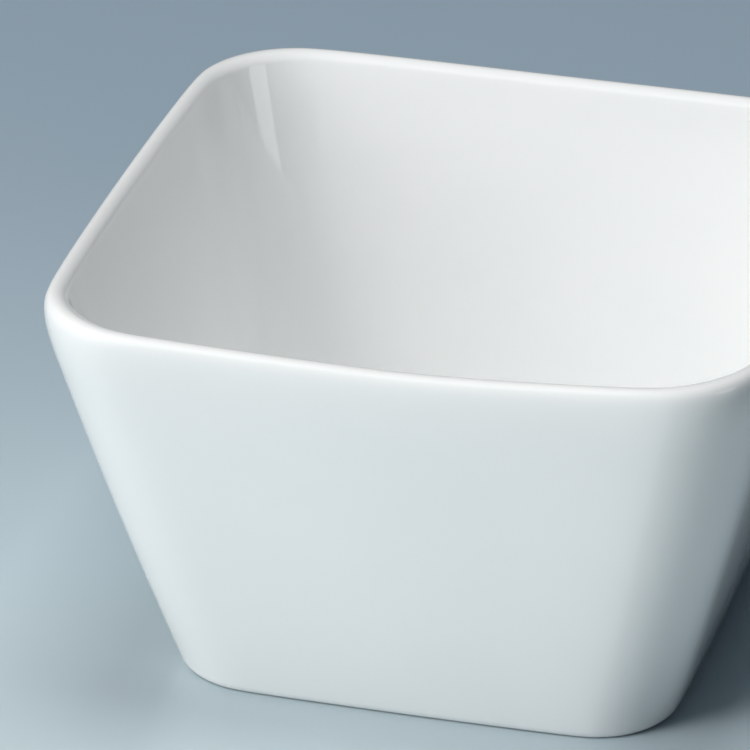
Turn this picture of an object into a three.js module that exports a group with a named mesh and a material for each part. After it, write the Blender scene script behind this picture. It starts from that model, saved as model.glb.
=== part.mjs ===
// A square sauce bowl of glazed porcelain: the fired body, the glaze that coats it inside and
// out, and the separate patch of glaze in the hollow under the foot.
// Millimetres, +Z up. The origin lies on the table, under the middle of the bowl.

import * as THREE from 'three';

// Finished outside, over the glaze
const RIM_WIDTH = 90; // across the swell of the shoulder, at the middles of two opposite sides
const LONG_SIDE_STRETCH = 1.0335; // how much longer the front and back are than the other sides
const RIM_HEIGHT = 54; // at the corners, where the rim is highest
const RIM_DIP = 0.26; // how far the rim sinks at the middle of each side
const RIM_SIDE_RADIUS = 740; // each side bows outwards on this radius, seen from above
const SHOULDER_DROP = 9.35; // from the rim down to where the wall starts to turn in
const SHOULDER_INSET = 1.87; // how far inside the rim's width the shoulder starts
const SHOULDER_CORNER_RADIUS = 13.25;
const BASE_WIDTH = 62.8; // across the widest part of the rounded base edge
const BASE_CORNER_RADIUS = 10.9;
const BASE_SIDE_RADIUS = 913;
const BASE_EDGE_RADIUS = 2.2; // round edge between the wall and the foot
const WALL_BULGE = 0.2; // how far the wall swells from a straight line, foot to shoulder

// Lip and finished inside, over the glaze
const CREST_INSET = 1.7; // from the rim's width in to the top of the lip
const CREST_REACH = 2; // how fully the shoulder rounds into the top of the lip
const CREST_CORNER_RADIUS = 13.3;
const LIP_INNER_RADIUS = 1.5; // round edge between the top of the lip and the inner wall
const INNER_RIM_CORNER_RADIUS = 12.5;
const WALL_THICKNESS = 3.6; // level with the floor, measured across
const FLOOR_THICKNESS = 3.6; // from the hollow under the foot up to the floor
const FLOOR_FILLET = 7; // between the wall and the floor
const WALL_FOOT_CORNER_RADIUS = 10; // upright inner corner where the fillet starts
const FLOOR_CORNER_RADIUS = 4; // corner of the flat floor where the fillet ends
const FLOOR_SIDE_RADIUS = 800;

// Foot: a bare flat ring around a shallow hollow
const FOOT_RING_WIDTH = 2.6;
const FOOT_HOLLOW_DEPTH = 1.6;
const HOLLOW_CORNER_RADIUS = 5;

// Glaze
const GLAZE_THICKNESS = 0.3;
const GLAZE_STOP_ANGLE = 52; // degrees round the base edge at which the glaze ends

// Smoothness of the facets
const SIDE_STEPS = 6;
const CORNER_STEPS = 7;
const WALL_STEPS = 3;
const SHOULDER_STEPS = 5;
const LIP_STEPS = 4;
const FILLET_STEPS = 4;
const EDGE_STEPS = 2;

// Places worked out from the sizes above, as points of the profile: across, then up
const SIDES = 4;
const LOOP_STEPS = SIDES * (SIDE_STEPS + CORNER_STEPS);
const rimHalf = RIM_WIDTH / 2;
const baseHalf = BASE_WIDTH / 2;
const bareEdgeRadius = BASE_EDGE_RADIUS - GLAZE_THICKNESS;
const baseCentre = new THREE.Vector2(baseHalf - BASE_EDGE_RADIUS, bareEdgeRadius);
const shoulderStart = new THREE.Vector2(rimHalf - SHOULDER_INSET, RIM_HEIGHT - SHOULDER_DROP);
const crest = new THREE.Vector2(rimHalf - CREST_INSET, RIM_HEIGHT);
const lipCentre = new THREE.Vector2(crest.x, RIM_HEIGHT - LIP_INNER_RADIUS);
const innerRimHalf = crest.x - LIP_INNER_RADIUS;
const floorHeight = FOOT_HOLLOW_DEPTH + FLOOR_THICKNESS;
const footOuterHalf = baseCentre.x;
const footInnerHalf = footOuterHalf - FOOT_RING_WIDTH;
const hollowRadius = FOOT_HOLLOW_DEPTH / 2;
const footInnerEdge = new THREE.Vector2(footInnerHalf, hollowRadius);
const hollowEdge = new THREE.Vector2(footInnerHalf - 2 * hollowRadius, hollowRadius);

// How far the walls lean out from upright: on average, and more at the foot than at the top
const rise = shoulderStart.clone().sub(baseCentre);
const outerLean = Math.atan2(rise.x, rise.y) - Math.asin(BASE_EDGE_RADIUS / rise.length());
const swell = Math.atan2(4 * WALL_BULGE, rise.length());
const wallAcross = BASE_EDGE_RADIUS / Math.cos(outerLean) - WALL_THICKNESS;
const floorHalf = baseCentre.x + wallAcross + (floorHeight - baseCentre.y) * Math.tan(outerLean);
const innerLean = Math.atan2(innerRimHalf - floorHalf, lipCentre.y - floorHeight);
const filletLean = innerLean + swell;
const filletCentre = new THREE.Vector2(
  floorHalf + FLOOR_FILLET * (Math.tan(filletLean) - 1 / Math.cos(filletLean)),
  floorHeight + FLOOR_FILLET,
);

// Plan of the bowl at each place where its shape is set: corner radius, bow of the sides as a
// curvature, and the share of the rim's dip that reaches there
const baseBow = 1 / BASE_SIDE_RADIUS;
const rimBow = 1 / RIM_SIDE_RADIUS;
const floorBow = 1 / FLOOR_SIDE_RADIUS;
const plans = {
  hollow: { at: hollowEdge.x, corner: HOLLOW_CORNER_RADIUS, bow: baseBow, dip: 0 },
  foot: {
    at: footOuterHalf,
    corner: BASE_CORNER_RADIUS - BASE_EDGE_RADIUS,
    bow: baseBow,
    dip: 0,
  },
  base: { at: baseHalf, corner: BASE_CORNER_RADIUS, bow: baseBow, dip: 0 },
  shoulder: {
    at: shoulderStart.x,
    corner: SHOULDER_CORNER_RADIUS,
    bow: rimBow,
    dip: shoulderStart.y / RIM_HEIGHT,
  },
  crest: { at: crest.x, corner: CREST_CORNER_RADIUS, bow: rimBow, dip: 1 },
  innerRim: { at: innerRimHalf, corner: INNER_RIM_CORNER_RADIUS, bow: rimBow, dip: 1 },
  wallFoot: {
    at: filletCentre.x + FLOOR_FILLET * Math.cos(filletLean),
    corner: WALL_FOOT_CORNER_RADIUS,
    bow: floorBow,
    dip: 0,
  },
  floor: { at: filletCentre.x, corner: FLOOR_CORNER_RADIUS, bow: floorBow, dip: 0 },
};

/** The arc of a circle in the profile, its angles measured up from the outward direction. */
function arc(centre, radius, from, to) {
  return new THREE.EllipseCurve(centre.x, centre.y, radius, radius, from, to, to < from);
}

/** A wall's gently swelling line, tangent to the arc that it leaves and to the one it joins. */
function wall(leaving, joining) {
  const start = leaving.getPoint(1);
  const end = joining.getPoint(0);
  const away = leaving.getTangent(1);
  const into = joining.getTangent(0);
  const across = end.clone().sub(start);
  const reach = across.cross(into) / away.cross(into);
  return new THREE.QuadraticBezierCurve(start, start.clone().addScaledVector(away, reach), end);
}

/** How far out a point of the profile lies between two plans, as a share. */
function shareAcross(place, from, to) {
  return (place.x - from.at) / (to.at - from.at);
}

/** How far up the shoulder a point of the profile lies, as a share. */
function shareUpShoulder(place) {
  return (place.y - shoulderStart.y) / SHOULDER_DROP;
}

/**
 * Levels of the skin along a curve of the profile: each has its place, the way it faces, and a
 * plan mixed from the two given ones.
 */
function levels(curve, steps, from, to, shareOf = shareAcross) {
  return Array.from({ length: steps + 1 }, (_, step) => {
    const place = curve.getPoint(step / steps);
    const along = curve.getTangent(step / steps);
    const share = shareOf(place, from, to);
    return {
      half: place.x,
      height: place.y,
      facing: new THREE.Vector2(along.y, -along.x),
      corner: THREE.MathUtils.lerp(from.corner, to.corner, share),
      bow: THREE.MathUtils.lerp(from.bow, to.bow, share),
      dip: THREE.MathUtils.lerp(from.dip, to.dip, share),
    };
  });
}

/** The point where a flat part of the skin closes on the bowl's axis. */
function middle(height, up) {
  return { half: 0, height, facing: new THREE.Vector2(0, up), corner: 0, bow: 0, dip: 0 };
}

/** A level moved out of its surface by a distance, or into it by a negative one. */
function offset(level, distance) {
  return {
    ...level,
    half: level.half + distance * level.facing.x,
    height: level.height + distance * level.facing.y,
    corner: level.corner + distance * level.facing.x,
  };
}

/** The closed loop of points that a level makes round the bowl: bowed sides and round corners. */
function loop(level) {
  if (level.half === 0) {
    return Array.from({ length: LOOP_STEPS }, () => new THREE.Vector3(0, 0, level.height));
  }
  const sideRadius = 1 / level.bow;
  const sideCentre = sideRadius - level.half;
  const between = sideRadius - level.corner;
  const cornerCentre = (Math.sqrt(2 * between ** 2 - sideCentre ** 2) - sideCentre) / 2;
  const turn = Math.atan2(cornerCentre, cornerCentre + sideCentre);
  const side = new THREE.EllipseCurve(-sideCentre, 0, sideRadius, sideRadius, -turn, turn);
  const corner = new THREE.EllipseCurve(
    cornerCentre,
    cornerCentre,
    level.corner,
    level.corner,
    turn,
    Math.PI / 2 - turn,
  );
  const quarter = [
    ...side.getPoints(SIDE_STEPS).slice(0, SIDE_STEPS),
    ...corner.getPoints(CORNER_STEPS).slice(0, CORNER_STEPS),
  ];
  return Array.from({ length: SIDES }, (_, count) => quarter.map((point) => {
    const turned = point.clone().rotateAround(new THREE.Vector2(), count * Math.PI / 2);
    const sunk = level.dip * RIM_DIP * (1 + Math.cos(SIDES * turned.angle())) / 2;
    return new THREE.Vector3(turned.x * LONG_SIDE_STRETCH, turned.y, level.height - sunk);
  })).flat();
}

/**
 * The closed skin through a run of levels that rises and then a run that falls. Both runs split
 * their facets on the same diagonal, so two pieces that share levels meet face to face.
 */
function skin(rising, falling) {
  const all = [...rising, ...falling];
  const closes = all[0].half === 0 ? all.length - 1 : all.length;
  const points = all.flatMap((level) => loop(level));
  const index = [];
  for (let row = 0; row < closes; row += 1) {
    const low = row * LOOP_STEPS;
    const high = ((row + 1) % all.length) * LOOP_STEPS;
    for (let step = 0; step < LOOP_STEPS; step += 1) {
      const next = (step + 1) % LOOP_STEPS;
      const [a, b, c, d] = [low + step, low + next, high + next, high + step];
      const facets = row < rising.length ? [[a, b, d], [b, c, d]] : [[a, b, c], [a, c, d]];
      index.push(...facets.filter((facet) => area(facet, points) > 0).flat());
    }
  }
  const geometry = new THREE.BufferGeometry().setFromPoints(points);
  geometry.setIndex(index);
  geometry.computeVertexNormals();
  return geometry;
}

/** The area of a facet, which is nothing where two of its corners meet on the axis. */
function area(facet, points) {
  return new THREE.Triangle(...facet.map((corner) => points[corner])).getArea();
}

/** A named piece of the bowl with a material of its own. */
function piece(name, geometry, colour, roughness) {
  const material = new THREE.MeshStandardMaterial({ color: colour, roughness, metalness: 0 });
  const mesh = new THREE.Mesh(geometry, material);
  mesh.name = name;
  return mesh;
}

// The finished surface, from the glaze line on the base edge over the lip to the middle of the floor
const glazeStop = THREE.MathUtils.degToRad(GLAZE_STOP_ANGLE);
const shoulderLean = outerLean - swell;
const baseEdge = arc(baseCentre, BASE_EDGE_RADIUS, -glazeStop, -outerLean - swell);
const shoulder = new THREE.CubicBezierCurve(
  shoulderStart,
  new THREE.Vector2(Math.sin(shoulderLean), Math.cos(shoulderLean))
    .multiplyScalar(SHOULDER_DROP / 2)
    .add(shoulderStart),
  new THREE.Vector2(CREST_REACH, 0).add(crest),
  crest,
);
const lip = arc(lipCentre, LIP_INNER_RADIUS, Math.PI / 2, Math.PI + swell - innerLean);
const fillet = arc(filletCentre, FLOOR_FILLET, -filletLean, -Math.PI / 2);
const finished = [
  ...levels(baseEdge, EDGE_STEPS, plans.foot, plans.base),
  ...levels(wall(baseEdge, shoulder), WALL_STEPS, plans.base, plans.shoulder).slice(1),
  ...levels(shoulder, SHOULDER_STEPS, plans.shoulder, plans.crest, shareUpShoulder).slice(1),
  ...levels(lip, LIP_STEPS, plans.crest, plans.innerRim).slice(1),
  ...levels(wall(lip, fillet), WALL_STEPS, plans.innerRim, plans.wallFoot).slice(1),
  ...levels(fillet, FILLET_STEPS, plans.wallFoot, plans.floor).slice(1),
  middle(floorHeight, 1),
];
const coated = finished.map((level) => offset(level, -GLAZE_THICKNESS));

// The hollow under the foot, from its middle to the step in its side, then the bare foot
const hollow = [
  middle(FOOT_HOLLOW_DEPTH, -1),
  ...levels(arc(hollowEdge, hollowRadius, Math.PI / 2, 0), EDGE_STEPS, plans.hollow, plans.foot),
];
const bareFoot = [
  ...levels(
    arc(footInnerEdge, hollowRadius, Math.PI, 1.5 * Math.PI),
    EDGE_STEPS,
    plans.hollow,
    plans.foot,
  ).slice(1),
  ...levels(
    arc(baseCentre, bareEdgeRadius, -Math.PI / 2, -glazeStop),
    EDGE_STEPS,
    plans.foot,
    plans.base,
  ).slice(0, EDGE_STEPS),
];
const hollowGlazed = hollow.map((level) => offset(level, GLAZE_THICKNESS));

const porcelainBody = skin([...hollow, ...bareFoot, ...coated], []);
const glazeCoat = skin(finished, coated.toReversed());
const footHollowGlaze = skin(hollowGlazed, hollow.toReversed());

const bowl = new THREE.Group();
bowl.add(piece('porcelain_body', porcelainBody, '#e9e4da', 0.8));
bowl.add(piece('glaze_coat', glazeCoat, '#eff1f0', 0.12));
bowl.add(piece('foot_hollow_glaze', footHollowGlaze, '#eff1f0', 0.16));

export default bowl;
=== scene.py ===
"""A square white porcelain sauce bowl: fired body, glaze coat and foot glaze, on a studio table."""

import math
from typing import NamedTuple

import bmesh
import bpy
from bpy.props import FloatProperty, FloatVectorProperty, IntProperty, PointerProperty
from mathutils import Matrix, Vector


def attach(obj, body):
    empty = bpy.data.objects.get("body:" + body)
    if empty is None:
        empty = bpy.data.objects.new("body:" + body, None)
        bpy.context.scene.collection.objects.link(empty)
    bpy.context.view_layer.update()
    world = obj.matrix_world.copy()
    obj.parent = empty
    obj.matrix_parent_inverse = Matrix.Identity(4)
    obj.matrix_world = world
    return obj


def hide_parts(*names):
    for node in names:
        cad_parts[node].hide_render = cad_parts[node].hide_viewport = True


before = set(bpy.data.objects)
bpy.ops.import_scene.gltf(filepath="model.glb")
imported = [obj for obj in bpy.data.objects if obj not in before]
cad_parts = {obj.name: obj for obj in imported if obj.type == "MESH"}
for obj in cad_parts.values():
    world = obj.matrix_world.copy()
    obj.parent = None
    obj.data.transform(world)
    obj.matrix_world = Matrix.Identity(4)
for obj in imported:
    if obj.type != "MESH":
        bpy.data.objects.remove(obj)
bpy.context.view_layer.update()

bl_info = {
    "name": "Porcelain sauce bowl",
    "version": (1, 0, 0),
    "blender": (4, 5, 0),
    "location": "View3D > Sidebar > Sauce Bowl",
    "description": "Makes a square glazed sauce bowl over its measured frame",
    "category": "Add Mesh",
}

BODY = "root"
QUARTER = math.pi / 2
MERGE_DISTANCE = 1e-7

# How gently the rise towards the warped corner sets in
WARP_ONSET = 1.5

# The loop of a level, for one quarter turn: the middle half is the side, the rest the two half corners
SIDE_REACH = 0.25
CORNER_REACH = 0.5 - SIDE_REACH

# Steps along a loop, and their weights, whose mean eases the sides into the corners
SOFTENING = ((-0.06, 0.25), (0.0, 0.5), (0.06, 0.25))

LAMPS = ("key", "low", "top", "card", "sheen")
GLOSS_ONLY = ("card", "sheen")


class Grain(NamedTuple):
    """A soft noise of a finish: how fine and detailed it is, and the range of it that counts."""

    scale: float
    detail: float
    low: float = 0.0
    high: float = 1.0
    roughness: float = 0.5


class Relief(NamedTuple):
    """How high a finish stands, in metres, and how strongly that shows."""

    height: float
    strength: float


# Glaze: depth is -1 where the glaze is thinnest, 0 on the walls and 1 where it pools
GLAZE_IOR = 1.48
GLAZE_CLOUDS = Grain(42.0, 3.0, 0.40, 0.68)
GLAZE_BREAKS = Grain(160.0, 4.0, 0.30, 0.75)
GLAZE_SATIN = Grain(75.0, 4.0, 0.30, 0.75)
GLAZE_WAVES = Grain(55.0, 2.0)
GLAZE_PEEL = Grain(700.0, 2.0)
BREAK_SHARE = (0.10, 0.45)
THIN_DEPTH = (-0.5, -1.0)
POOL_DEPTH = (0.2, 1.0)
HOLLOW_DEPTH = 0.6
SPECK_SCALE = 230.0
SPECK_EDGE = (0.075, 0.04)
SPECK_RARITY = 0.994
SPECK_SHARE = 0.55
WAVE_RELIEF = Relief(0.0004, 0.05)
PEEL_RELIEF = Relief(0.00003, 0.12)
PIT_RELIEF = Relief(0.00005, 0.5)

# Bare porcelain: the rub marks lie on the lowest part of the foot ring
BARE_IOR = 1.5
BARE_CLOUDS = Grain(90.0, 5.0, 0.35, 0.70)
BARE_RUBS = Grain(240.0, 6.0, 0.45, 0.70, 0.65)
BARE_DULL = Grain(1400.0, 3.0, 0.25, 0.75)
BARE_TOOTH = Grain(3200.0, 4.0, roughness=0.6)
BARE_ROUGHNESS = (0.72, 0.92)
BARE_RELIEF = Relief(0.00006, 0.6)
RUB_HEIGHT = (0.00025, 0.00002)
RUB_SHARE = (0.0, 0.7)

# Table: painted light falloff, from the painted lighter near colour to the painted darker, bluer far
# one between two distances along a line to the back
TABLE_MOTTLE = Grain(9.0, 5.0, 0.3, 0.7, 0.6)
TABLE_DULL = Grain(30.0, 3.0, 0.3, 0.7)
TABLE_TOOTH = Grain(2600.0, 2.0)
TABLE_ROUGHNESS = (0.28, 0.34)
TABLE_RELIEF = Relief(0.00005, 0.15)
TABLE_BACK = (0.12, 0.99, 0.0)
TABLE_PAINTED_FALLOFF = (-0.10, 0.145)


def length(label, about, default):
    """A size of the bowl or of its stage, in metres."""
    return FloatProperty(
        name=label, description=about, default=default, min=0.0, unit="LENGTH", precision=5
    )


def angle(label, about, degrees):
    """An angle of the bowl or of its stage."""
    return FloatProperty(
        name=label, description=about, default=math.radians(degrees), unit="ROTATION", precision=4
    )


def colour(label, about, default):
    """A colour of a finish, in linear light."""
    return FloatVectorProperty(
        name=label, description=about, default=default, min=0.0, max=1.0, subtype="COLOR"
    )


def factor(label, about, default):
    """A share from none to all."""
    return FloatProperty(
        name=label, description=about, default=default, min=0.0, max=1.0, subtype="FACTOR"
    )


def power(label, about, default):
    """The power of a lamp, in watts."""
    return FloatProperty(name=label, description=about, default=default, min=0.0, unit="POWER")


def plain(label, about, default):
    """A number without a unit."""
    return FloatProperty(name=label, description=about, default=default)


def count(label, about, default):
    """How many steps a curve is cut into."""
    return IntProperty(name=label, description=about, default=default, min=1)


class SauceBowlShape(bpy.types.PropertyGroup):
    """Sizes of the bowl, over its glaze."""

    rim_width: length("Rim width", "Across the swell of the shoulder", 0.0900)
    stretch: plain("Stretch", "Length of the front and back over that of the other sides", 1.0335)
    rim_height: length("Rim height", "Height of the rim at the corners", 0.054)
    rim_dip: length("Rim dip", "How far the rim sinks at the middle of each side", 0.00026)
    rim_side_radius: length("Rim side radius", "Bow of the sides at the rim", 0.74)
    shoulder_drop: length("Shoulder drop", "From the rim down to the start of the shoulder", 0.00935)
    shoulder_inset: length("Shoulder inset", "How far inside the rim width it starts", 0.00187)
    shoulder_corner: length("Shoulder corner", "Corner radius at the shoulder", 0.01325)
    base_width: length("Base width", "Across the rounded base edge", 0.0628)
    base_corner: length("Base corner", "Corner radius at the base", 0.0109)
    base_side_radius: length("Base side radius", "Bow of the sides at the base", 0.913)
    base_edge: length("Base edge", "Round edge between the wall and the foot", 0.0022)
    wall_bulge: length("Wall bulge", "Swell of the wall from a straight line", 0.0002)
    crest_inset: length("Crest inset", "From the rim width in to the top of the lip", 0.0017)
    crest_reach: length("Crest reach", "How fully the shoulder rounds into the lip", 0.002)
    crest_corner: length("Crest corner", "Corner radius along the top of the lip", 0.0133)
    lip_radius: length("Lip radius", "Round edge between the lip and the inner wall", 0.0015)
    inner_rim_corner: length("Inner rim corner", "Corner radius at the inner rim", 0.0125)
    wall_thickness: length("Wall thickness", "Across the wall, level with the floor", 0.0036)
    floor_thickness: length("Floor thickness", "From the foot's hollow up to the floor", 0.0036)
    floor_fillet: length("Floor fillet", "Between the wall and the floor", 0.007)
    wall_foot_corner: length("Wall foot corner", "Inner corner where the fillet starts", 0.010)
    floor_corner: length("Floor corner", "Corner of the flat floor", 0.004)
    floor_side_radius: length("Floor side radius", "Bow of the floor's sides", 0.8)
    foot_ring: length("Foot ring", "Width of the flat ring that the bowl rests on", 0.0026)
    foot_hollow: length("Foot hollow", "Depth of the hollow under the foot", 0.0016)
    hollow_corner: length("Hollow corner", "Corner radius of the hollow", 0.005)
    glaze: length("Glaze", "Thickness of the glaze", 0.0003)
    warp: length("Warp", "How far the near right corner of the rim rose in the firing", 0.0024)
    glaze_stop: angle("Glaze stop", "How far round the base edge the glaze runs", 52.0)
    round_steps: count("Round steps", "Steps round the whole bowl", 288)
    wall_steps: count("Wall steps", "Steps up a wall", 14)
    edge_steps: count("Edge steps", "Steps round an edge or a fillet", 10)


class SauceBowlFinish(bpy.types.PropertyGroup):
    """Colours and gloss of the glaze and of the bare porcelain."""

    glaze_white: colour("Glaze white", "Main colour of the glaze", (0.955, 0.966, 0.958))
    glaze_cloud: colour("Glaze cloud", "Faint cloudiness in the glaze", (0.940, 0.952, 0.946))
    glaze_thin: colour("Thin glaze", "Where the glaze runs thin over an edge", (0.94, 0.93, 0.905))
    glaze_pool: colour("Pooled glaze", "Where the glaze gathers", (0.89, 0.912, 0.907))
    glaze_speck: colour("Speck", "Tiny iron specks in the glaze", (0.36, 0.33, 0.29))
    glaze_rough_low: factor("Gloss", "Roughness where the glaze is smoothest", 0.02)
    glaze_rough_high: factor("Satin", "Roughness where the glaze is dullest", 0.035)
    bare_white: colour("Bare porcelain", "Unglazed foot ring", (0.80, 0.765, 0.70))
    bare_warm: colour("Warm porcelain", "Warm clouds in the bare porcelain", (0.72, 0.66, 0.57))
    bare_rub: colour("Rub marks", "Grey marks where the foot rubs the table", (0.50, 0.475, 0.44))


class SauceBowlStage(bpy.types.PropertyGroup):
    """Table, lamps and camera."""

    # Painted light falloff: the near colour is painted lighter and the far colour painted darker and
    # bluer, from the front to the back of the table
    table_near_painted_light: colour("Near table", "Colour of the table in front", (0.63, 0.728, 0.752))
    table_far_painted_shade: colour("Far table", "Colour of the table behind", (0.385, 0.49, 0.585))
    table_mottle: factor("Mottling", "How far the table's colour wanders", 0.06)
    table_size: length("Table size", "Length of each side of the table", 8.0)
    sky_colour: colour("Room", "Colour of the dim room", (0.72, 0.86, 1.0))
    sky_light: plain("Room light", "Strength of the dim room", 0.066)
    sky_seen: colour("Backdrop", "What the camera sees past the table", (0.25, 0.31, 0.36))
    key_power: power("Key lamp", "Power of the tall soft box at the front left", 6.0)
    key_turn: angle("Key turn", "Left of straight in front of the bowl", 33.0)
    key_lift: angle("Key lift", "Above the table", 46.0)
    key_width: length("Key width", "Width of the tall soft box", 0.40)
    key_height: length("Key height", "Height of the tall soft box", 0.80)
    low_power: power("Low lamp", "Power of the low soft box beside the key", 5.6)
    low_turn: angle("Low turn", "Left of straight in front of the bowl", 42.0)
    low_lift: angle("Low lift", "Above the table", 14.0)
    low_width: length("Low width", "Width of the low soft box", 0.45)
    low_height: length("Low height", "Height of the low soft box", 0.70)
    top_power: power("Top lamp", "Power of the soft box overhead", 5.4)
    top_turn: angle("Top turn", "Left of straight in front of the bowl", 0.0)
    top_lift: angle("Top lift", "Above the table", 90.0)
    top_width: length("Top width", "Width of the soft box overhead", 0.45)
    top_height: length("Top height", "Height of the soft box overhead", 0.45)
    card_power: power("Card", "Power of the card at the right that only the gloss shows", 0.9)
    card_turn: angle("Card turn", "Left of straight in front of the bowl", -70.0)
    card_lift: angle("Card lift", "Above the table", 11.0)
    card_width: length("Card width", "Width of the card", 0.42)
    card_height: length("Card height", "Height of the card", 0.30)
    sheen_power: power("Sheen", "Power of the wide panel that only the gloss shows", 5.0)
    sheen_turn: angle("Sheen turn", "Left of straight in front of the bowl", 45.0)
    sheen_lift: angle("Sheen lift", "Above the table", 32.0)
    sheen_width: length("Sheen width", "Width of the wide panel", 1.07)
    sheen_height: length("Sheen height", "Height of the wide panel", 1.30)
    lamp_distance: length("Lamp distance", "From the bowl to each soft box", 1.2)
    lens: plain("Lens", "Focal length of the camera, in millimetres", 356.23)
    distance: length("Distance", "From the aim to the camera", 0.92607)
    azimuth: angle("Azimuth", "Turn of the camera to the right of the front", 15.413)
    elevation: angle("Elevation", "Height of the camera above the table", 26.976)
    aim_right: length("Aim right", "Bowl's middle to the right of the picture's", 0.01212)
    aim_down: length("Aim down", "Bowl's middle below the picture's", 0.00445)


class Plan(NamedTuple):
    """The bowl seen from above where its shape is set: how far out, and what its loop is like."""

    at: float
    corner: float
    bow: float
    dip: float


class Level(NamedTuple):
    """One loop round the bowl: place in the profile, the way it faces, its plan and its glaze."""

    place: Vector
    facing: Vector
    plan: Plan
    depth: float = 0.0


def arc(centre, radius, start, end, steps):
    """Places and facings along an arc of the profile, whose angles rise from the outward way."""
    way = 1.0 if end > start else -1.0
    turns = (start + (end - start) * step / steps for step in range(steps + 1))
    rays = [Vector((math.cos(turn), math.sin(turn))) for turn in turns]
    return [(centre + radius * ray, way * ray) for ray in rays]


def bend(start, leave, arrive, end, steps):
    """Places and facings along a cubic curve of the profile."""
    made = []
    for step in range(steps + 1):
        t = step / steps
        s = 1.0 - t
        place = s**3 * start + 3 * s * s * t * leave + 3 * s * t * t * arrive + t**3 * end
        along = s * s * (leave - start) + 2 * s * t * (arrive - leave) + t * t * (end - arrive)
        along.normalize()
        made.append((place, Vector((along.y, -along.x))))
    return made


def wall(leaving, joining, steps):
    """A wall's gently swelling line, tangent to the edge that it leaves and to the one it joins."""
    (start, face_out), (end, face_in) = leaving[-1], joining[0]
    away = Vector((-face_out.y, face_out.x))
    into = Vector((-face_in.y, face_in.x))
    top = start + away * ((end - start).cross(into) / away.cross(into))
    return bend(start, start.lerp(top, 2 / 3), end.lerp(top, 2 / 3), end, steps)


def mixed(low, high, share):
    """A plan part of the way between two others."""
    return Plan(*(a + (b - a) * share for a, b in zip(low, high)))


def across(line, low, high, depth=lambda share: 0.0):
    """Levels along a line of the profile, with plans mixed by how far out each place lies."""
    made = []
    for place, facing in line:
        share = (place.x - low.at) / (high.at - low.at)
        made.append(Level(place, facing, mixed(low, high, share), depth(share)))
    return made


def upwards(line, low, high, depth):
    """Levels along a line of the profile, with plans mixed by how high each place lies."""
    foot, top = line[0][0].y, line[-1][0].y
    made = []
    for place, facing in line:
        share = (place.y - foot) / (top - foot)
        made.append(Level(place, facing, mixed(low, high, share), depth(share)))
    return made


def flat(level, steps):
    """Levels from one on a flat part of the skin to where that part closes on the bowl's axis."""
    made = []
    for step in range(1, steps + 1):
        share = 1.0 - step / steps
        plan = Plan(level.plan.at * share, level.plan.corner * share, level.plan.bow, 0.0)
        made.append(
            Level(Vector((level.place.x * share, level.place.y)), level.facing, plan, level.depth)
        )
    return made


def moved(levels, distance):
    """Levels moved out of their surface, or into it by a negative distance."""
    made = []
    for level in levels:
        step = distance * level.facing
        if level.place.x <= 0:
            step.x = 0
        plan = level.plan._replace(corner=level.plan.corner + step.x)
        made.append(level._replace(place=level.place + step, plan=plan))
    return made


def bead(last, first, steps):
    """The rounded edge of a glaze that ends on the surface, from its outside to its inside."""
    middle = (last.place + first.place) / 2
    spoke = last.place - middle
    made = []
    for step in range(1, steps):
        turned = Matrix.Rotation(-math.pi * step / steps, 2) @ spoke
        made.append(last._replace(place=middle + turned, facing=turned.normalized()))
    return made


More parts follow.
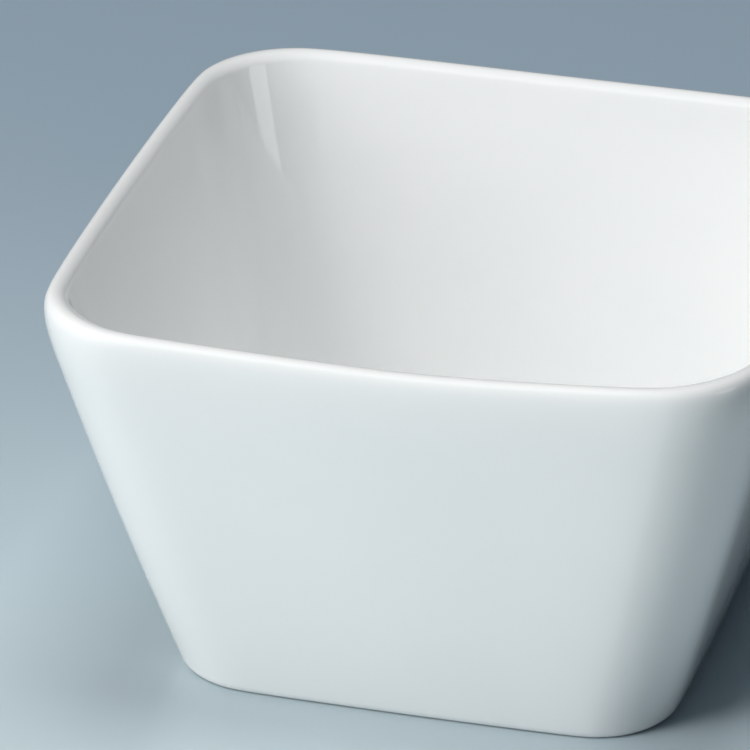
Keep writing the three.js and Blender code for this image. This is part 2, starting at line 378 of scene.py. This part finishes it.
def profiles(shape):
    """The lines that the three pieces are spun from, as lists of levels."""
    wall_steps, edge_steps = shape.wall_steps, shape.edge_steps
    rim_half, base_half = shape.rim_width / 2, shape.base_width / 2
    bare_edge = shape.base_edge - shape.glaze
    base_centre = Vector((base_half - shape.base_edge, bare_edge))
    start = Vector((rim_half - shape.shoulder_inset, shape.rim_height - shape.shoulder_drop))
    crest = Vector((rim_half - shape.crest_inset, shape.rim_height))
    lip_centre = crest - Vector((0.0, shape.lip_radius))
    inner_half = crest.x - shape.lip_radius
    floor_height = shape.foot_hollow + shape.floor_thickness
    foot_inner = base_centre.x - shape.foot_ring
    hollow_radius = shape.foot_hollow / 2
    hollow_half = foot_inner - shape.foot_hollow

    rise = start - base_centre
    lean = math.atan2(rise.x, rise.y) - math.asin(shape.base_edge / rise.length)
    swell = math.atan2(4 * shape.wall_bulge, rise.length)
    wall_across = shape.base_edge / math.cos(lean) - shape.wall_thickness
    floor_half = base_centre.x + wall_across + (floor_height - base_centre.y) * math.tan(lean)
    inner_lean = math.atan2(inner_half - floor_half, lip_centre.y - floor_height)
    fillet_lean = inner_lean + swell
    fillet_in = shape.floor_fillet * (math.tan(fillet_lean) - 1 / math.cos(fillet_lean))
    fillet_centre = Vector((floor_half + fillet_in, floor_height + shape.floor_fillet))
    wall_foot = fillet_centre.x + shape.floor_fillet * math.cos(fillet_lean)

    base_bow, rim_bow = 1 / shape.base_side_radius, 1 / shape.rim_side_radius
    floor_bow = 1 / shape.floor_side_radius
    hollow_plan = Plan(hollow_half, shape.hollow_corner, base_bow, 0.0)
    foot_plan = Plan(base_centre.x, shape.base_corner - shape.base_edge, base_bow, 0.0)
    base_plan = Plan(base_half, shape.base_corner, base_bow, 0.0)
    start_plan = Plan(start.x, shape.shoulder_corner, rim_bow, start.y / shape.rim_height)
    crest_plan = Plan(crest.x, shape.crest_corner, rim_bow, 1.0)
    inner_plan = Plan(inner_half, shape.inner_rim_corner, rim_bow, 1.0)
    wall_foot_plan = Plan(wall_foot, shape.wall_foot_corner, floor_bow, 0.0)
    floor_plan = Plan(fillet_centre.x, shape.floor_corner, floor_bow, 0.0)

    top_lean = lean - swell
    base_line = arc(base_centre, shape.base_edge, -shape.glaze_stop, -lean - swell, edge_steps)
    rising = Vector((math.sin(top_lean), math.cos(top_lean))) * shape.shoulder_drop / 2
    outward = Vector((shape.crest_reach, 0.0))
    shoulder = bend(start, start + rising, crest + outward, crest, 2 * edge_steps)
    lip = arc(lip_centre, shape.lip_radius, QUARTER, math.pi + swell - inner_lean, edge_steps)
    fillet = arc(fillet_centre, shape.floor_fillet, -fillet_lean, -QUARTER, edge_steps)

    finished = [
        *across(base_line, foot_plan, base_plan, lambda share: 1.0 - share),
        *across(wall(base_line, shoulder, wall_steps), base_plan, start_plan)[1:],
        *upwards(shoulder, start_plan, crest_plan, lambda share: -(share**4))[1:],
        *across(lip, crest_plan, inner_plan, lambda share: share - 1.0)[1:],
        *across(wall(lip, fillet, wall_steps), inner_plan, wall_foot_plan)[1:],
        *across(fillet, wall_foot_plan, floor_plan, lambda share: share)[1:],
    ]
    finished += flat(finished[-1], edge_steps)
    coated = moved(finished, -shape.glaze)

    hollow_edge = Vector((hollow_half, hollow_radius))
    foot_edge = Vector((foot_inner, hollow_radius))
    rounded = arc(hollow_edge, hollow_radius, 0.0, QUARTER, edge_steps)
    side = [(place, -facing) for place, facing in rounded]
    hollow = across(side, hollow_plan, foot_plan, lambda share: HOLLOW_DEPTH)
    hollow += flat(hollow[-1], edge_steps)
    inner_foot = across(
        arc(foot_edge, hollow_radius, math.pi, 1.5 * math.pi, edge_steps), hollow_plan, foot_plan
    )
    outer_foot = across(
        arc(base_centre, bare_edge, -QUARTER, -shape.glaze_stop, edge_steps), foot_plan, base_plan
    )
    return finished, coated, hollow, [*inner_foot[1:], *outer_foot[:-1]]


def on_loop(plan, share):
    """Where a share of a quarter turn lies on a level's loop: a bowed side between half corners."""
    side_radius = 1 / plan.bow
    side_centre = side_radius - plan.at
    between = side_radius - plan.corner
    corner_centre = (math.sqrt(2 * between**2 - side_centre**2) - side_centre) / 2
    turn = math.atan2(corner_centre, corner_centre + side_centre)
    quarter, within = divmod(share + 0.5, 1.0)
    off = within - 0.5
    if abs(off) < SIDE_REACH:
        along = turn * off / SIDE_REACH
        point = Vector((side_radius * math.cos(along) - side_centre, side_radius * math.sin(along)))
    else:
        past = (abs(off) - SIDE_REACH) / (2 * CORNER_REACH)
        along = turn + (QUARTER - 2 * turn) * past
        point = Vector((corner_centre + plan.corner * math.cos(along),
                        corner_centre + plan.corner * math.sin(along)))
        point.y = math.copysign(point.y, off)
    return Matrix.Rotation(quarter * QUARTER, 2) @ point


def risen(shape, x, y, z):
    """How far the firing has lifted a place towards the near right corner of the rim."""
    half = shape.rim_width / 2
    right = max(0.0, x) / half
    near = (1 - y / half) / 2
    return shape.warp * right**WARP_ONSET * near * (z / shape.rim_height)**2


def spun(name, line, shape):
    """A closed skin: the line is spun round the bowl's axis, then eased from round to square."""
    bm = bmesh.new()
    made_from = bm.verts.layers.int.new("level")
    glaze_depth = bm.verts.layers.float.new("glaze_depth")
    chain = []
    for number, level in enumerate(line):
        vert = bm.verts.new((level.place.x, 0.0, level.place.y))
        vert[made_from] = number
        vert[glaze_depth] = level.depth
        chain.append(vert)
    edges = [bm.edges.new(pair) for pair in zip(chain, chain[1:])]
    bmesh.ops.spin(
        bm, geom=chain + edges, cent=(0, 0, 0), axis=(0, 0, 1),
        angle=math.tau, steps=shape.round_steps, use_merge=True,
    )
    bmesh.ops.remove_doubles(bm, verts=bm.verts, dist=MERGE_DISTANCE)
    bmesh.ops.recalc_face_normals(bm, faces=bm.faces)
    for vert in bm.verts:
        level = line[vert[made_from]]
        if level.place.x <= MERGE_DISTANCE:
            continue
        share = math.atan2(vert.co.y, vert.co.x) / QUARTER
        plan = level.plan._replace(at=level.place.x)
        eased = (on_loop(plan, share + off) * weight for off, weight in SOFTENING)
        point = sum(eased, Vector((0, 0)))
        round_turn = math.atan2(point.y, point.x)
        sunk = level.plan.dip * shape.rim_dip * (1 + math.cos(4 * round_turn)) / 2
        rise = risen(shape, point.x, point.y, level.place.y)
        vert.co = (point.x * shape.stretch, point.y, level.place.y - sunk + rise)
    bm.verts.layers.int.remove(bm.verts.layers.int["level"])
    for face in bm.faces:
        face.smooth = True
    mesh = bpy.data.meshes.new(name)
    bm.to_mesh(mesh)
    bm.free()
    piece = bpy.data.objects.new(name, mesh)
    bpy.context.scene.collection.objects.link(piece)
    return piece


def placed(piece, node, material):
    """Puts a piece on the bowl's body, in the place of a node of the frame."""
    piece.data.materials.append(material)
    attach(piece, BODY)
    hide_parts(node)


class Nodes:
    """A material's node tree, with short ways to add and join nodes."""

    def __init__(self, name):
        self.material = bpy.data.materials.new(name)
        self.material.use_nodes = True
        self.tree = self.material.node_tree
        self.shader = self.tree.nodes["Principled BSDF"]

    def add(self, kind, sockets=(), **settings):
        """A node with its settings, and with values or links for its input sockets."""
        node = self.tree.nodes.new(kind)
        for key, value in settings.items():
            setattr(node, key, value)
        for socket, value in dict(sockets).items():
            self.feed(node.inputs[socket], value)
        return node

    def feed(self, socket, value):
        """Sets an input socket, or links it where the value is another node's output."""
        if isinstance(value, bpy.types.NodeSocket):
            self.tree.links.new(value, socket)
        else:
            socket.default_value = value

    def where(self):
        """The place on the object."""
        return self.add("ShaderNodeTexCoord").outputs["Object"]

    def noise(self, grain):
        """A grain's soft noise over the object, from 0 to 1."""
        node = self.add("ShaderNodeTexNoise", {"Vector": self.where()})
        for socket in ("Scale", "Detail", "Roughness"):
            self.feed(node.inputs[socket], getattr(grain, socket.lower()))
        return node.outputs["Fac"]

    def patches(self, grain, to_low=0.0, to_high=1.0):
        """A grain's noise, with the range of it that counts carried into another."""
        return self.between(self.noise(grain), grain.low, grain.high, to_low, to_high)

    def between(self, value, low, high, to_low=0.0, to_high=1.0):
        """A value carried smoothly from one range into another."""
        return self.add(
            "ShaderNodeMapRange",
            {"Value": value, "From Min": low, "From Max": high, "To Min": to_low, "To Max": to_high},
            interpolation_type="SMOOTHSTEP",
        ).outputs["Result"]

    def joined(self, operation, first, second):
        """Two values joined by a sum, product or comparison."""
        return self.add("ShaderNodeMath", {0: first, 1: second}, operation=operation).outputs[0]

    def mix(self, share, first, second):
        """Two colours mixed by a share."""
        node = self.add("ShaderNodeMix", data_type="RGBA")
        self.feed(node.inputs[0], share)
        for socket, value in ((node.inputs[6], first), (node.inputs[7], second)):
            self.feed(socket, value if isinstance(value, bpy.types.NodeSocket) else (*value, 1.0))
        return node.outputs[2]

    def bump(self, height, relief, normal=None):
        """A bump from a height, on top of an earlier one."""
        sockets = {"Height": height, "Distance": relief.height, "Strength": relief.strength}
        if normal is not None:
            sockets["Normal"] = normal
        return self.add("ShaderNodeBump", sockets).outputs["Normal"]

    def finish(self, **sockets):
        """Feeds the shader and hands back the material."""
        for name, value in sockets.items():
            self.feed(self.shader.inputs[name.replace("_", " ")], value)
        return self.material


def glaze_material(finish):
    """White gloss glaze: faint clouds, thin edges, pools, a few specks and a soft waviness."""
    made = bpy.data.materials.get("white_gloss_glaze")
    if made:
        return made
    nodes = Nodes("white_gloss_glaze")
    tone = nodes.mix(nodes.patches(GLAZE_CLOUDS), finish.glaze_white, finish.glaze_cloud)
    depth = nodes.add("ShaderNodeAttribute", attribute_name="glaze_depth").outputs["Fac"]
    broken = nodes.patches(GLAZE_BREAKS, *BREAK_SHARE)
    thin = nodes.between(depth, *THIN_DEPTH)
    tone = nodes.mix(nodes.joined("MULTIPLY", thin, broken), tone, finish.glaze_thin)
    pool = nodes.between(depth, *POOL_DEPTH)
    tone = nodes.mix(nodes.joined("MULTIPLY", pool, broken), tone, finish.glaze_pool)
    cells = nodes.add("ShaderNodeTexVoronoi", {"Vector": nodes.where(), "Scale": SPECK_SCALE})
    dot = nodes.between(cells.outputs["Distance"], *SPECK_EDGE)
    chosen = nodes.add("ShaderNodeSeparateColor", {"Color": cells.outputs["Color"]}).outputs["Red"]
    rare = nodes.joined("GREATER_THAN", chosen, SPECK_RARITY)
    speck = nodes.joined("MULTIPLY", dot, rare)
    tone = nodes.mix(nodes.joined("MULTIPLY", speck, SPECK_SHARE), tone, finish.glaze_speck)
    satin = nodes.patches(GLAZE_SATIN, finish.glaze_rough_low, finish.glaze_rough_high)
    waves = nodes.bump(nodes.noise(GLAZE_WAVES), WAVE_RELIEF)
    peel = nodes.bump(nodes.noise(GLAZE_PEEL), PEEL_RELIEF, waves)
    pits = nodes.bump(nodes.joined("MULTIPLY", speck, -1.0), PIT_RELIEF, peel)
    return nodes.finish(Base_Color=tone, Roughness=satin, Normal=pits, IOR=GLAZE_IOR)


def bare_material(finish):
    """Bare fired porcelain: warm, matt and finely grained, rubbed grey where it meets the table."""
    nodes = Nodes("bare_fired_porcelain")
    tone = nodes.mix(nodes.patches(BARE_CLOUDS), finish.bare_white, finish.bare_warm)
    height = nodes.add("ShaderNodeSeparateXYZ", {"Vector": nodes.where()}).outputs["Z"]
    low = nodes.between(height, *RUB_HEIGHT)
    rubs = nodes.patches(BARE_RUBS, *RUB_SHARE)
    tone = nodes.mix(nodes.joined("MULTIPLY", low, rubs), tone, finish.bare_rub)
    dull = nodes.patches(BARE_DULL, *BARE_ROUGHNESS)
    tooth = nodes.bump(nodes.noise(BARE_TOOTH), BARE_RELIEF)
    return nodes.finish(Base_Color=tone, Roughness=dull, Normal=tooth, IOR=BARE_IOR)


def table_material(stage):
    """A blue-grey table with a soft sheen and the faintest mottling, and painted light falloff:
    painted lighter in front, darker and bluer towards the back.
    """
    nodes = Nodes("plain_table")
    back = nodes.add(
        "ShaderNodeVectorMath", {0: nodes.where(), 1: TABLE_BACK}, operation="DOT_PRODUCT"
    ).outputs["Value"]
    # Painted light falloff: the table's colour is painted lighter in front and darker towards the back
    painted_falloff = nodes.between(back, *TABLE_PAINTED_FALLOFF)
    mottle = nodes.patches(TABLE_MOTTLE, 0.0, stage.table_mottle)
    tone = nodes.mix(nodes.joined("ADD", painted_falloff, mottle), stage.table_near_painted_light, stage.table_far_painted_shade)
    dull = nodes.patches(TABLE_DULL, *TABLE_ROUGHNESS)
    tooth = nodes.bump(nodes.noise(TABLE_TOOTH), TABLE_RELIEF)
    return nodes.finish(Base_Color=tone, Roughness=dull, Normal=tooth)


class SAUCEBOWL_OT_porcelain_body(bpy.types.Operator):
    """Makes the fired porcelain body, which shows bare on the foot ring"""

    bl_idname = "sauce_bowl.porcelain_body"
    bl_label = "Porcelain Body"

    def execute(self, context):
        """Spins the body's line from the hollow over the lip to the floor."""
        shape, finish = context.scene.sauce_bowl_shape, context.scene.sauce_bowl_finish
        _, coated, hollow, bare_foot = profiles(shape)
        line = [*reversed(hollow), *bare_foot, *coated]
        piece = spun("fired_porcelain_body", line, shape)
        placed(piece, "porcelain_body", bare_material(finish))
        return {"FINISHED"}


class SAUCEBOWL_OT_glaze_coat(bpy.types.Operator):
    """Makes the glaze that coats the bowl from the base edge over the lip to the floor"""

    bl_idname = "sauce_bowl.glaze_coat"
    bl_label = "Glaze Coat"

    def execute(self, context):
        """Spins the glaze's closed line, with a rounded bead where it stops above the foot."""
        shape, finish = context.scene.sauce_bowl_shape, context.scene.sauce_bowl_finish
        finished, coated, _, _ = profiles(shape)
        edge = bead(finished[0], coated[0], shape.edge_steps)
        line = [*reversed(finished), *edge, *coated]
        piece = spun("white_glaze_coat", line, shape)
        placed(piece, "glaze_coat", glaze_material(finish))
        return {"FINISHED"}


class SAUCEBOWL_OT_foot_glaze(bpy.types.Operator):
    """Makes the separate patch of glaze in the hollow under the foot"""

    bl_idname = "sauce_bowl.foot_glaze"
    bl_label = "Foot Glaze"

    def execute(self, context):
        """Spins the patch from the middle of the hollow to the step in its side and back."""
        shape, finish = context.scene.sauce_bowl_shape, context.scene.sauce_bowl_finish
        _, _, hollow, _ = profiles(shape)
        skin = moved(hollow, shape.glaze)
        line = [*reversed(skin), *bead(skin[0], hollow[0], shape.edge_steps), *hollow]
        piece = spun("foot_hollow_glaze_patch", line, shape)
        placed(piece, "foot_hollow_glaze", glaze_material(finish))
        return {"FINISHED"}


class SAUCEBOWL_OT_stage(bpy.types.Operator):
    """Makes the table, the lamps and the camera"""

    bl_idname = "sauce_bowl.stage"
    bl_label = "Stage"

    def execute(self, context):
        """Lays the table, lights it with soft boxes in a dim room, and sets up the camera."""
        scene, stage = context.scene, context.scene.sauce_bowl_stage
        self.lay_table(scene, stage)
        self.light(scene, stage)
        self.look(scene, stage)
        scene.view_settings.view_transform = "Standard"
        return {"FINISHED"}

    def lay_table(self, scene, stage):
        """A wide flat table top under the bowl."""
        bm = bmesh.new()
        bmesh.ops.create_grid(bm, x_segments=1, y_segments=1, size=stage.table_size / 2)
        mesh = bpy.data.meshes.new("table_top")
        bm.to_mesh(mesh)
        bm.free()
        table = bpy.data.objects.new("table_top", mesh)
        scene.collection.objects.link(table)
        mesh.materials.append(table_material(stage))

    def light(self, scene, stage):
        """Soft boxes at the front left and overhead, two panels for the gloss, and a dim room."""
        for name in LAMPS:
            lamp = bpy.data.lights.new(name + "_soft_box", "AREA")
            lamp.shape = "RECTANGLE"
            lamp.size = getattr(stage, name + "_width")
            lamp.size_y = getattr(stage, name + "_height")
            lamp.energy = getattr(stage, name + "_power")
            turn = getattr(stage, name + "_turn")
            lift = getattr(stage, name + "_lift")
            level = math.cos(lift)
            towards = Vector((-math.sin(turn) * level, -math.cos(turn) * level, math.sin(lift)))
            box = bpy.data.objects.new(name + "_soft_box", lamp)
            box.location = towards * stage.lamp_distance
            box.rotation_euler = towards.to_track_quat("Z", "Y").to_euler()
            box.visible_camera = False
            box.visible_glossy = name in GLOSS_ONLY
            box.visible_diffuse = name not in GLOSS_ONLY
            scene.collection.objects.link(box)
        world = bpy.data.worlds.new("dim_room")
        scene.world = world
        world.use_nodes = True
        tree = world.node_tree
        tree.nodes.clear()
        room = tree.nodes.new("ShaderNodeBackground")
        room.inputs["Color"].default_value = (*stage.sky_colour, 1.0)
        room.inputs["Strength"].default_value = stage.sky_light
        seen = tree.nodes.new("ShaderNodeBackground")
        seen.inputs["Color"].default_value = (*stage.sky_seen, 1.0)
        path = tree.nodes.new("ShaderNodeLightPath")
        pick = tree.nodes.new("ShaderNodeMixShader")
        out = tree.nodes.new("ShaderNodeOutputWorld")
        tree.links.new(path.outputs["Is Camera Ray"], pick.inputs[0])
        tree.links.new(room.outputs[0], pick.inputs[1])
        tree.links.new(seen.outputs[0], pick.inputs[2])
        tree.links.new(pick.outputs[0], out.inputs["Surface"])

    def look(self, scene, stage):
        """The camera, at the photograph's angle and framing."""
        level = math.cos(stage.elevation)
        back = Vector((
            math.sin(stage.azimuth) * level,
            -math.cos(stage.azimuth) * level,
            math.sin(stage.elevation),
        ))
        right = Vector((0, 0, 1)).cross(back).normalized()
        up = back.cross(right)
        middle = Vector((0, 0, scene.sauce_bowl_shape.rim_height / 2))
        aim = middle - right * stage.aim_right + up * stage.aim_down
        data = bpy.data.cameras.new("photo_camera")
        data.lens = stage.lens
        camera = bpy.data.objects.new("photo_camera", data)
        turn = Matrix((right, up, back)).transposed().to_4x4()
        camera.matrix_world = Matrix.Translation(aim + back * stage.distance) @ turn
        scene.collection.objects.link(camera)
        scene.camera = camera


class SAUCEBOWL_PT_panel(bpy.types.Panel):
    """Lists the bowl's pieces and settings in the sidebar"""

    bl_idname = "SAUCEBOWL_PT_panel"
    bl_label = "Sauce Bowl"
    bl_space_type = "VIEW_3D"
    bl_region_type = "UI"
    bl_category = "Sauce Bowl"

    def draw(self, context):
        """One button for each piece and for the stage, then every setting."""
        for operator in OPERATORS:
            self.layout.operator(operator.bl_idname)
        for name, group in SETTINGS.items():
            box = self.layout.box()
            for prop in group.__annotations__:
                box.prop(getattr(context.scene, name), prop)


SETTINGS = {
    "sauce_bowl_shape": SauceBowlShape,
    "sauce_bowl_finish": SauceBowlFinish,
    "sauce_bowl_stage": SauceBowlStage,
}
OPERATORS = (
    SAUCEBOWL_OT_porcelain_body,
    SAUCEBOWL_OT_glaze_coat,
    SAUCEBOWL_OT_foot_glaze,
    SAUCEBOWL_OT_stage,
)
CLASSES = (*SETTINGS.values(), *OPERATORS, SAUCEBOWL_PT_panel)


def register():
    """Adds the classes and the scene's settings."""
    for made in CLASSES:
        bpy.utils.register_class(made)
    for name, group in SETTINGS.items():
        setattr(bpy.types.Scene, name, PointerProperty(type=group))


def unregister():
    """Takes the scene's settings and the classes away again."""
    for name in SETTINGS:
        delattr(bpy.types.Scene, name)
    for made in reversed(CLASSES):
        bpy.utils.unregister_class(made)


def main():
    """Makes every piece and the stage."""
    register()
    bpy.ops.sauce_bowl.porcelain_body()
    bpy.ops.sauce_bowl.glaze_coat()
    bpy.ops.sauce_bowl.foot_glaze()
    bpy.ops.sauce_bowl.stage()


if __name__ == "__main__":
    main()
